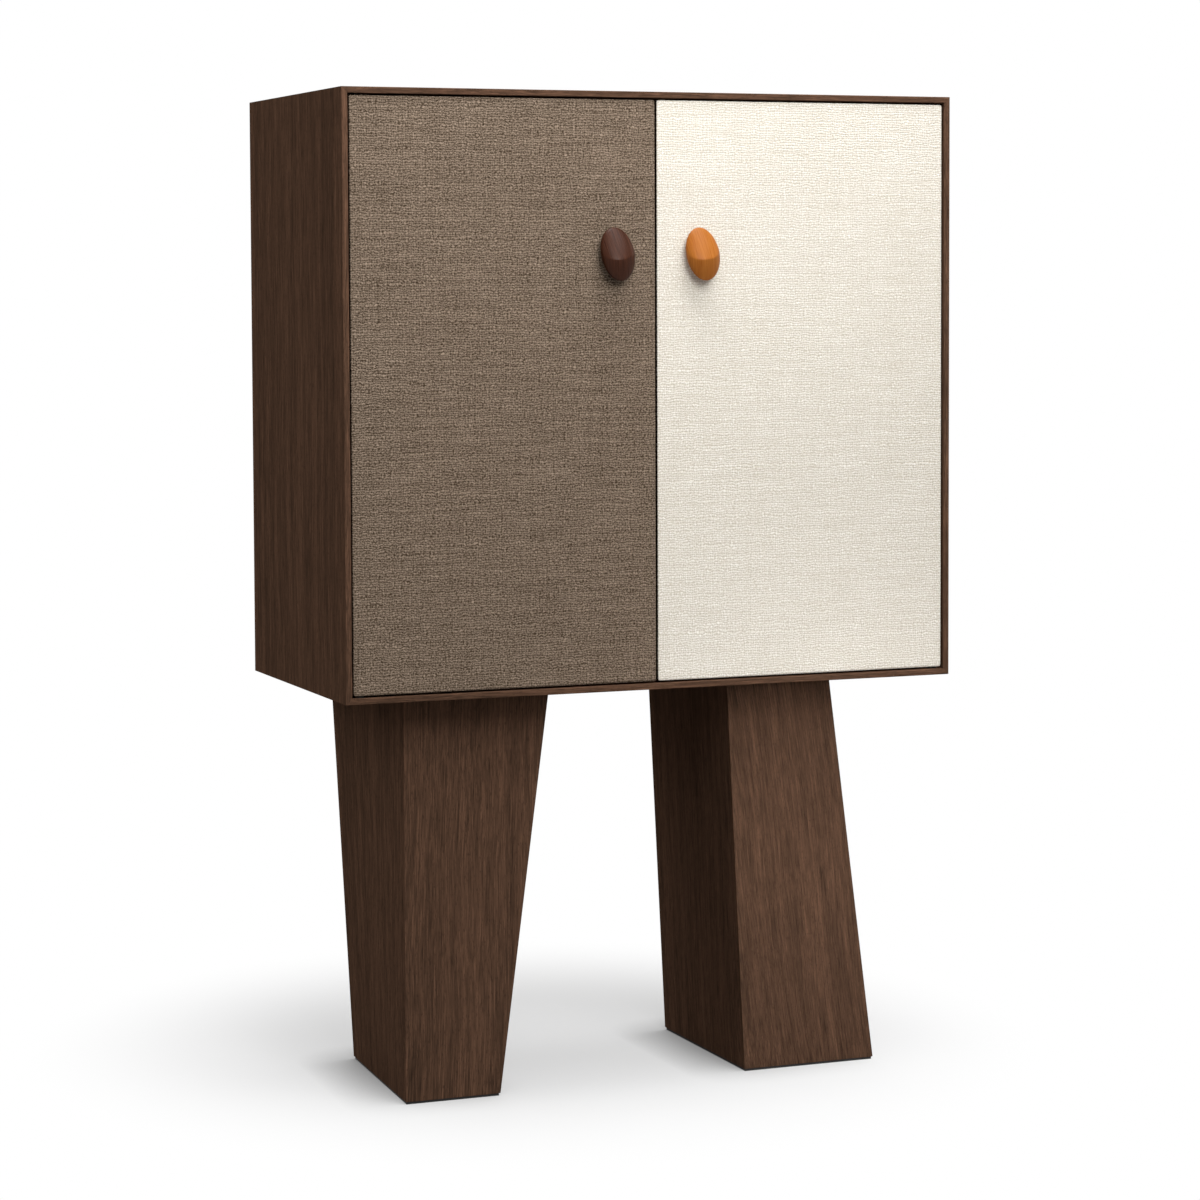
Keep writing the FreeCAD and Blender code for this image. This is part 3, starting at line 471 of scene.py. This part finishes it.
wrap = edge_profile(0.02)
print("on a door 20 mm deep the wrap runs", round(wrap[-1, 0] * 1000, 1), "mm past the flat front")

# %% [markdown]
# ## Yarns as points
# A weave could be made of many bent tubes, but at this size only its bumps show. So the front is a sheet
# whose points stand at the crossings, up and down in turn, like the squares of a chess board. The yarns
# aren't evenly spaced or equally thick, which keeps the weave from looking printed.

# %% Front of a door cover
YARN_PITCH = 0.0038
YARN_RELIEF = 0.0003
PLACE_JITTER = 0.10  # of the yarn pitch
LEVEL_SWELL, UPRIGHT_SWELL = 0.25, 0.15  # spread of the yarns' thickness
SWELL_LIMITS = (0.3, 1.8)


def woven_front(half, seed):
    """Points x, y, z at the crossings of upright yarns i and level yarns j, with the cells i, j. The places
    jitter; y is the relief times plus or minus one in turn, times the swell of both yarns."""
    rng = np.random.default_rng(seed)
    across, up = (int(round(2 * size / YARN_PITCH)) for size in half)
    x = np.linspace(-half[0], half[0], across + 1)
    z = np.linspace(-half[1], half[1], up + 1)
    x[1:-1] += rng.normal(0, PLACE_JITTER, across - 1) * YARN_PITCH
    z[1:-1] += rng.normal(0, PLACE_JITTER, up - 1) * YARN_PITCH
    column, row = np.meshgrid(np.arange(across + 1), np.arange(up + 1))
    swell = 1 + LEVEL_SWELL * rng.standard_normal((up + 1, 1))
    swell = swell + UPRIGHT_SWELL * rng.standard_normal((1, across + 1))
    height = YARN_RELIEF * np.where((column + row) % 2, 1, -1) * np.clip(swell, *SWELL_LIMITS)
    return np.stack([x[column], -height, z[row]], -1), np.stack([column, row], -1)


print(round(0.1 / YARN_PITCH, 1), "yarns to 100 mm of cloth")

# %% [markdown]
# ## The edge of a cover
# The same yarns go on round the edge, and so do their bumps. A smooth strip would be simpler there, but
# along the rim it would show as a straight line. So the rim's points are carried along the wrap, and each
# stands out or in by turns. At the corners the cloth is drawn in a little, which rounds them.

# %% Edge of a door cover
CORNER_CUT = 0.0008  # how far the corners are drawn in
EDGE_START = 1.5 * FRONT_RADIUS  # length of cloth over which the relief of the edge sets in


def wrapped_edge(rim, odd, half, profile):
    """Points x, y, z for each step of the wrap and each point x, z of the front's rim. The rim is scaled
    about the door's middle to the step's inset and set back to its depth; the corners are drawn in by the
    cut. Yarns stand out or in by the relief, in turn along the edge and along the wrap, but not where the
    cloth is turned in."""
    run, inset, depth = profile.T[..., None]
    flat_half = half - FRONT_RADIUS
    grown = rim * ((half - inset[..., None]) / flat_half)
    at_corner = (np.abs(np.abs(rim) - flat_half) < 1e-6).all(1)
    cut = CORNER_CUT * np.minimum(1, run / FRONT_RADIUS) * at_corner
    grown -= np.sign(grown) * cut[..., None]
    turn = np.where(np.arange(len(profile)) % 2, 1, -1)[:, None]
    shown = (inset < BACK_RADIUS) * np.clip(run / EDGE_START, 0, 1)
    puff = YARN_RELIEF * np.where(odd, 1, -1) * turn * shown
    grown *= 1 + puff[..., None] / half
    return np.stack([grown[..., 0], np.broadcast_to(depth, puff.shape), grown[..., 1]], -1)


def cover_faces(numbers, outline, steps):
    """Quads of the front's grid, and of the strips from one ring round the outline to the next."""
    quads = np.stack([numbers[:-1, :-1], numbers[:-1, 1:], numbers[1:, 1:], numbers[1:, :-1]], -1)
    count = len(outline)
    rings = numbers.size + np.arange(steps * count).reshape(-1, count)
    rings = np.concatenate([outline[None], rings])
    after = np.roll(rings, -1, axis=1)
    strips = np.stack([rings[:-1], rings[1:], after[1:], after[:-1]], -1)
    return np.concatenate([quads.reshape(-1, 4), strips.reshape(-1, 4)])


print("the relief of the edge sets in over", round(EDGE_START * 1000, 1), "mm")

# %% [markdown]
# ## One sheet for each door
# On the real door the cover is one cut of cloth. The front and the edge could stay two meshes, but a seam
# would show between them, so they become one sheet. Its cloth coordinates run from 0 to 1 over the flat
# cut, so a pattern on them stays square on the front and goes on round the edge.

# %% A door cover
CLOTH_THICKNESS = 0.0008


def door_cover(name, node, seed):
    """The cover of one door, with its flat size, the yarns over that size and the yarns over the flat front.
    A rim point's cloth coordinate grows with the length of cloth past the flat front."""
    low, high = (np.array(corner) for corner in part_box(node))
    half = (high - low)[[0, 2]] / 2
    flat_half = half - FRONT_RADIUS
    front, cells = woven_front(flat_half, seed)
    numbers = np.arange(front[..., 0].size).reshape(front.shape[:2])
    outline = np.concatenate([numbers[0, :-1], numbers[:-1, -1], numbers[-1, :0:-1], numbers[:0:-1, 0]])
    points, cells = front.reshape(-1, 3), cells.reshape(-1, 2)
    profile = edge_profile(high[1] - low[1])
    edge = wrapped_edge(points[outline][:, [0, 2]], cells[outline].sum(1) % 2, half, profile)
    middle = (low + high) / 2
    points = np.concatenate([points, edge.reshape(-1, 3)]) + (middle[0], low[1], middle[2])
    piece = mesh_piece(name, points, cover_faces(numbers, outline, len(profile)))

    count = cells.max(0)
    flat = 2 * (flat_half + profile[-1, 0])
    yarns = flat * count / (2 * flat_half)
    from_middle = cells - count / 2
    spread = (flat_half + profile[:, :1]) / flat_half
    round_edge = from_middle[outline] * spread[:, None]
    cloth = np.concatenate([from_middle, round_edge.reshape(-1, 2)]) / yarns + 0.5
    corners = np.zeros(len(piece.data.loops), np.int32)
    piece.data.loops.foreach_get("vertex_index", corners)
    layer = piece.data.uv_layers.new(name="cloth")
    layer.data.foreach_set("uv", cloth[corners].astype(np.float32).ravel())
    piece.data.shade_smooth()
    wall = piece.modifiers.new("cloth thickness", "SOLIDIFY")
    wall.thickness = CLOTH_THICKNESS
    wall.offset = -1
    print(name, count[0], "by", count[1], "yarns,", len(points), "points, cut", flat.round(4))
    return piece, flat, yarns.tolist(), count.tolist()


# %% [markdown]
# ## Linen, yarn by yarn
# Linen yarn is uneven: a single yarn is lighter or darker than its neighbours, thickens into slubs and
# thins out again. A woven pattern could be painted as a picture, but it would be blurred close by. So the
# finish counts yarns with the cover's own cloth coordinates, and the count wanders a little, since no yarn
# lies as straight as a ruler.

# %% Yarn count
WANDER_SCALE, WANDER = 0.3, 1.2  # waves to a yarn, and yarns of drift off the straight line


def yarn_count(graph, yarns):
    """Yarns from the middle of the cloth, plus one half: the cloth coordinate times the yarns, less half of
    them, plus one half. The cell of a crossing is then the whole part."""
    cloth = graph.node("UVMap", {"uv_map": "cloth"})
    start = (*(0.5 - 0.5 * size for size in yarns), 0)
    return graph.node("VectorMath", {"operation": "MULTIPLY_ADD"}, {0: cloth, 1: (*yarns, 0), 2: start})


def wandering(count):
    """The count plus a slow noise."""
    noise = count.node("TexNoise", {}, {"Vector": count, "Scale": WANDER_SCALE, "Detail": 0.0}, 1)
    moved = {0: noise, 1: (WANDER, WANDER, 0), 2: count}
    return count.node("VectorMath", {"operation": "MULTIPLY_ADD"}, moved)


def across_and_up(count):
    """The two counts, across and up."""
    return [count.node("SeparateXYZ", {}, {"Vector": count}, axis) for axis in (0, 1)]


print("yarns drift by up to about", WANDER, "of their pitch")

# %% [markdown]
# ## The tone of the weave
# Each yarn gets a tone of its own, and at a crossing the yarn on top shows. That alone would look like a
# neat basket, so a fine mottle breaks up the crossings, and long, faint streaks run both ways, as where
# yarn from one spool lies side by side.

# %% Tone of the yarns
TONE_STEP, TONE_APART = 0.11, 7.31  # noise steps along one yarn, and from yarn to yarn
UPRIGHT_SEED, LEVEL_SEED = 3.7, 91.3
UPRIGHT_SHARE, LEVEL_SHARE, SLUB_SHARE, MOTTLE_SHARE = 0.4, 0.8, 0.3, 2.8
SLUB_LIMITS = (0.12, 0.24)
LEVEL_STREAK, UPRIGHT_STREAK = (30, 1.5), (1.5, 30)  # yarns across and up
LEVEL_STREAK_SHARE, UPRIGHT_STREAK_SHARE = 0.55, 0.25


def yarn_tone(along, which, seed):
    """Noise along one yarn, which has nothing to do with that of the next."""
    where = along.node("CombineXYZ", {}, {0: along * TONE_STEP, 1: which * TONE_APART, 2: seed})
    return along.node("TexNoise", {}, {"Vector": where, "Scale": 1.0, "Detail": 2.0, "Roughness": 0.7}) - 0.5


def patches(count, size, detail):
    """Noise in patches of so many yarns across and up."""
    counted = count.node("VectorMath", {"operation": "DIVIDE"}, {0: count, 1: (*size, 1)})
    return count.node("TexNoise", {}, {"Vector": counted, "Scale": 1.0, "Detail": detail}) - 0.5


def weave_tone(count, mottle):
    """The level yarn is on top where the sum of the cells is odd. The tone is that of the top yarn with its
    slubs, plus the mottle and the streaks, around one half."""
    parts = across_and_up(count)
    cells = [part.math("FLOOR") for part in parts]
    level_on_top = (cells[0] + cells[1]).math("PINGPONG", 1.0)
    upright = yarn_tone(parts[1], cells[0], UPRIGHT_SEED)
    level = yarn_tone(parts[0], cells[1], LEVEL_SEED)
    slub = level.clear(*SLUB_LIMITS)
    yarn_tones = {2: upright * UPRIGHT_SHARE, 3: level * LEVEL_SHARE + slub * SLUB_SHARE}
    on_top = count.node("Mix", {"data_type": "FLOAT"}, {0: level_on_top, **yarn_tones})
    streaks = patches(count, LEVEL_STREAK, 2.0) * LEVEL_STREAK_SHARE
    streaks += patches(count, UPRIGHT_STREAK, 2.0) * UPRIGHT_STREAK_SHARE
    return on_top + mottle * MOTTLE_SHARE + streaks + 0.5


print("streaks", LEVEL_STREAK[0], "yarns long")

# %% [markdown]
# ## The linen finish
# Dark lines of painted shade stand between the yarns, where one looks into the weave, and fine hairs
# make the cloth dull.
# The gaps round the doors look black. They could be made deeper, but light still falls in, so the cloth is
# coloured with painted shade, a dark brown, from the rounding of the edge on.

# %% Linen finish
# painted shade for the gaps round the doors, put on the cloth from the rounding of the edge on
PAINTED_EDGE_SHADE = paint(34, 25, 19)
EDGE_SHADE_START = (0.75, 0.95)  # yarns past the flat front
UPRIGHT_GAP, LEVEL_GAP = 0.4, 0.8  # weight of the dark lines between yarns
GAP_LIMITS, WEAVE_SHADE_SHARE = (0.3, 1.1), 0.8
MOTTLE_CELL = (1 / 1.3, 1 / 2.0)  # yarns across and up
HAIR_SCALE, HAIR_HEIGHT, MOTTLE_HEIGHT = 5.0, 0.4, 1.5  # heights against the depth of a gap
LINEN_ROUGHNESS, HAIR_ROUGHNESS = 0.95, 0.15
LINEN_RELIEF = 0.0006


def weave_gap(count):
    """Lines between yarns, from one less the size of sin(pi U) and of sin(pi V), where U and V are the
    counts."""
    across, up = ((part * math.pi).math("SINE").math("ABSOLUTE") for part in across_and_up(count))
    return ((1 - across) * UPRIGHT_GAP + (1 - up) * LEVEL_GAP).clear(*GAP_LIMITS)


def edge_shade_mask(count, front):
    """Mask of the painted edge shade: 0 on the flat front, and 1 where one of the counts is well past the
    front's yarns.
    """
    parts = zip(across_and_up(count), front)
    across, up = ((part - 0.5).math("ABSOLUTE") - size / 2 for part, size in parts)
    return across.math("MAXIMUM", up).clear(*EDGE_SHADE_START)


def linen(name, yarns, front, dark, light, painted_weave_shade):
    """Plain weave. The tone goes from the dark to the light yarn's colour, gaps to the painted weave shade,
    the edge to the painted edge shade. The relief is the mottle and the hairs, less the gaps."""
    material, graph = new_graph(name)
    straight = yarn_count(graph, yarns)
    count = wandering(straight)
    mottle = patches(count, MOTTLE_CELL, 1.5)
    gap = weave_gap(count)
    colour = weave_tone(count, mottle).clear(0.0, 1.0).mix(dark, light)
    # painted shade in the lines between yarns, where one looks into the weave
    colour = (gap * WEAVE_SHADE_SHARE).mix(colour, painted_weave_shade)
    # painted shade in the gaps round the doors: the cloth past the front goes to a dark brown
    colour = edge_shade_mask(straight, front).mix(colour, PAINTED_EDGE_SHADE)
    hair = graph.node("TexNoise", {}, {"Vector": count, "Scale": HAIR_SCALE, "Detail": 2.0})
    height = hair * HAIR_HEIGHT + mottle * MOTTLE_HEIGHT - gap
    relief = graph.node("Bump", {}, {"Height": height, "Strength": 0.6, "Distance": LINEN_RELIEF})
    rough = LINEN_ROUGHNESS - hair * HAIR_ROUGHNESS
    coat = {"Base Color": colour, "Roughness": rough, "Normal": relief, "Specular IOR Level": 0.0}
    graph.node("OutputMaterial", {}, {"Surface": graph.node("BsdfPrincipled", {}, coat)})
    return material


# %% [markdown]
# ## Both covers
# The left door is taupe and the right one cream, in the same weave. One cover could be copied for the other
# door, but then both would bulge at the same places, so each has its own seed. It takes the place of the
# packed cloth and rides on its door.

# %% Covers of both doors
# the last colour of each cover is the painted shade in the lines between yarns
COVERS = {  # name, seed, dark and light yarn, and the colour deep in the weave
    "left": ("taupe", 11, paint(70, 57, 44), paint(162, 143, 125), paint(45, 35, 27)),
    "right": ("cream", 23, paint(212, 203, 187), paint(252, 248, 240), paint(190, 178, 159)),
}
for side, (tint, seed, dark, light, painted_weave_shade) in COVERS.items():
    cover, flat, yarns, front = door_cover(f"{side}_door_linen", f"{side}_door_cloth", seed)
    cover.data.materials.append(linen(f"{tint}_linen", yarns, front, dark, light, painted_weave_shade))
    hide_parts(f"{side}_door_cloth")
    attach(cover, f"{side}_door")

# %% [markdown]
# ## The knobs
# The knobs are carved like pebbles, with a ridge that hangs across the front like a smile; the left one is
# walnut and the right one cherry. A sphere could be squashed and creased by hand, but the carver's own rule
# is simpler: stack half-ellipse sections along a leaning axis, and let their depth fall off from the widest
# one.

# %% Shape of a knob
KNOB_HALF_WIDTH, KNOB_HALF_LENGTH = 0.027, 0.0408
KNOB_FRONT, KNOB_BACK, KNOB_CREASE, KNOB_DIP = 0.021, 0.0102, 0.6, 0.15
KNOB_LEAN, KNOB_FALL, KNOB_ROLL = (math.radians(angle) for angle in (6, 23, 9))
KNOB_ROWS, KNOB_COLUMNS = 97, 96


def knob_surface(heart):
    """Point at share u of the half length and angle a round the section: the axis point, plus the half width
    times cos a across and the depth times sin a outward, both times the root of 1 - u squared. The front
    depth also falls straight with the distance of u from the crease, which makes the ridge; the crease rises
    from u = 0 in the middle by the dip at both sides. All is rolled about the y axis."""
    u = np.sin(np.linspace(-math.pi / 2, math.pi / 2, KNOB_ROWS))[:, None]
    angle = np.linspace(0, 2 * math.pi, KNOB_COLUMNS, endpoint=False)[None]
    taper = np.sqrt(np.maximum(1 - u * u, 1e-6))
    crease = -KNOB_DIP * (1 - np.sin(angle))
    ridged = KNOB_FRONT * (1 - KNOB_CREASE * np.abs(u - crease))
    out = np.where(np.sin(angle) > 0, ridged, KNOB_BACK) * np.sin(angle) * taper
    x = KNOB_HALF_WIDTH * np.cos(angle) * taper
    y = -math.sin(KNOB_LEAN) * KNOB_HALF_LENGTH * u - math.cos(KNOB_FALL) * out
    z = -math.cos(KNOB_LEAN) * KNOB_HALF_LENGTH * u - math.sin(KNOB_FALL) * out
    rolled_x = x * math.cos(KNOB_ROLL) - z * math.sin(KNOB_ROLL)
    rolled_z = x * math.sin(KNOB_ROLL) + z * math.cos(KNOB_ROLL)
    return np.stack([rolled_x, y, rolled_z], -1).reshape(-1, 3) + heart


knob_size = np.ptp(knob_surface(np.zeros(3)), axis=0)
print("a knob measures", (knob_size * 1000).round(1), "mm without its neck")

# %% [markdown]
# ## The knob's neck
# A knob stands off from its door on a short neck, through which the screw goes. It could float at the right
# distance, but from the side one would see the gap. So a turned neck is added along the screw, and both are
# one mesh, whose poles and ends are closed.

# %% A knob on its neck
KNOB_NECK_RADIUS, KNOB_NECK_RISE, KNOB_NECK_WAIST = 0.009, 0.014, 0.12
NECK_ROWS = 9
POLE_DISTANCE = 0.00004  # points of the poles nearer than this are joined


def grid_faces(rows, columns, start=0):
    """Quads of a grid that closes on itself along its rows."""
    numbers = start + np.arange(rows * columns).reshape(rows, columns)
    after = np.roll(numbers, -1, axis=1)
    return np.stack([numbers[:-1], after[:-1], after[1:], numbers[1:]], -1).reshape(-1, 4)


def knob_neck(foot, length):
    """A short neck along the line of the screw, whose radius is drawn in to a waist by a half sine."""
    share = np.linspace(0, 1, NECK_ROWS)[:, None]
    angle = np.linspace(0, 2 * math.pi, KNOB_COLUMNS, endpoint=False)[None]
    radius = KNOB_NECK_RADIUS * (1 - KNOB_NECK_WAIST * np.sin(share * math.pi))
    ring = np.stack([radius * np.cos(angle), 0 * angle - share * length, radius * np.sin(angle)], -1)
    return ring.reshape(-1, 3) + foot


def knob_piece(side):
    """Shell and neck of one knob in one mesh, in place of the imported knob."""
    low, high = (np.array(corner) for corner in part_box(f"{side}_knob"))
    standoff = (high[1] - low[1]) - KNOB_FRONT * math.cos(KNOB_FALL)
    screw_low, screw_high = (np.array(corner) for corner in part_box(f"{side}_knob_screw"))
    screw = (screw_low + screw_high) / 2
    heart = np.array([screw[0], high[1] - standoff, screw[2] - KNOB_NECK_RISE])
    shell = knob_surface(heart)
    neck = knob_neck(np.array([screw[0], high[1], screw[2]]), standoff / 2)
    faces = [grid_faces(KNOB_ROWS, KNOB_COLUMNS), grid_faces(NECK_ROWS, KNOB_COLUMNS, len(shell))]
    piece = mesh_piece(f"{side}_knob_carved", np.concatenate([shell, neck]), np.concatenate(faces))
    close = bmesh.new()
    close.from_mesh(piece.data)
    bmesh.ops.remove_doubles(close, verts=close.verts, dist=POLE_DISTANCE)
    bmesh.ops.holes_fill(close, edges=close.edges)
    bmesh.ops.recalc_face_normals(close, faces=close.faces)
    close.to_mesh(piece.data)
    close.free()
    piece.data.shade_smooth()
    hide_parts(f"{side}_knob")
    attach(piece, f"{side}_door")
    print(piece.name, len(piece.data.vertices), "points; heart at", heart.round(4))
    return piece


# %% [markdown]
# ## Knob timber
# Both knobs are oiled to a satin shine, and fine lines run down their length. Grain that is stretched along
# one axis only would show as dots where the knob's face cuts across it. Here it is stretched in depth as
# well, like sheets, so the lines go on over the ridge, and turned by the knob's roll.

# %% Knobs
WALNUT_SHADES = (paint(38, 17, 9), paint(58, 30, 17), paint(78, 44, 27))
CHERRY_SHADES = (paint(138, 74, 21), paint(158, 93, 34), paint(176, 112, 48))
OILED = {"roughness": 0.3, "shine": 0.11, "grain": 0.5, "turn": KNOB_ROLL, "pores": 0.0}
for side, tint, shades in (("left", "walnut", WALNUT_SHADES), ("right", "cherry", CHERRY_SHADES)):
    knob = knob_piece(side)
    oiled = timber(f"{tint}_timber", "yz", shades, **OILED)
    knob.data.materials.append(oiled)
